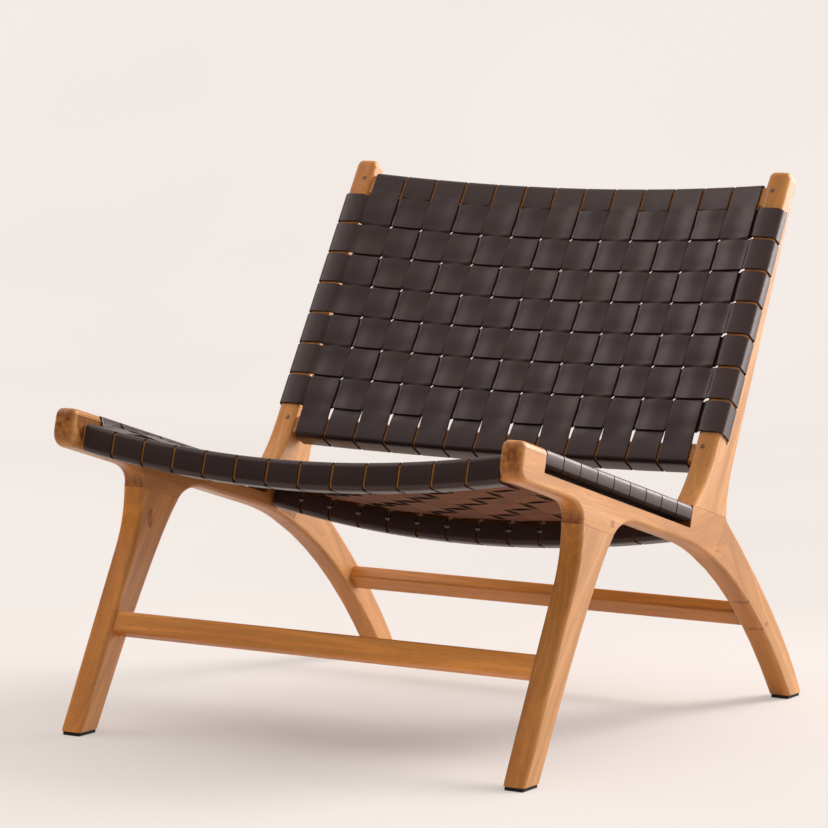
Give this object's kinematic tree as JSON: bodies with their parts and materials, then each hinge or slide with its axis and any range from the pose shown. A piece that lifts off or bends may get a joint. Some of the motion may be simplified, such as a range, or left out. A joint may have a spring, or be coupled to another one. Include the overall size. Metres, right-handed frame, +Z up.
{
  "type": "lounge chair",
  "caption": "Low lounge chair: two solid wood side frames joined by rails and stretchers, with a dished seat and a leaning back woven from wide leather straps.",
  "frame": {"origin": "on the floor, under the middle of the chair's bounding box", "axes": "+Z up, -Y the way the sitter faces, +X to the sitter's left"},
  "size_m": [0.6558, 0.783, 0.6898],
  "materials": {
    "teak": "oiled, satin",
    "leather": "satin",
    "glide": "matt"
  },
  "bodies": {
    "root": {"back_post_left": "teak", "back_post_right": "teak", "back_strap_cross_01": "leather", "back_strap_cross_02": "leather", "back_strap_cross_03": "leather", "back_strap_cross_04": "leather", "back_strap_cross_05": "leather", "back_strap_cross_06": "leather", "back_strap_cross_07": "leather", "back_strap_upright_01": "leather", "back_strap_upright_02": "leather", "back_strap_upright_03": "leather", "back_strap_upright_04": "leather", "back_strap_upright_05": "leather", "back_strap_upright_06": "leather", "back_strap_upright_07": "leather", "back_strap_upright_08": "leather", "back_strap_upright_09": "leather", "back_strap_upright_10": "leather", "back_strap_upright_11": "leather", "back_strap_upright_12": "leather", "back_strap_upright_13": "leather", "bottom_back_rail": "teak", "front_glide_left": "glide", "front_glide_right": "glide", "front_leg_left": "teak", "front_leg_right": "teak", "front_seat_rail": "teak", "front_stretcher": "teak", "rear_glide_left": "glide", "rear_glide_right": "glide", "rear_leg_left": "teak", "rear_leg_right": "teak", "rear_seat_rail": "teak", "rear_stretcher": "teak", "seat_strap_cross_01": "leather", "seat_strap_cross_02": "leather", "seat_strap_cross_03": "leather", "seat_strap_cross_04": "leather", "seat_strap_cross_05": "leather", "seat_strap_cross_06": "leather", "seat_strap_cross_07": "leather", "seat_strap_cross_08": "leather", "seat_strap_cross_09": "leather", "seat_strap_long_01": "leather", "seat_strap_long_02": "leather", "seat_strap_long_03": "leather", "seat_strap_long_04": "leather", "seat_strap_long_05": "leather", "seat_strap_long_06": "leather", "seat_strap_long_07": "leather", "seat_strap_long_08": "leather", "seat_strap_long_09": "leather", "seat_strap_long_10": "leather", "seat_strap_long_11": "leather", "seat_strap_long_12": "leather", "seat_strap_long_13": "leather", "side_rail_left": "teak", "side_rail_right": "teak", "top_back_rail": "teak"}
  },
  "joints": []
}
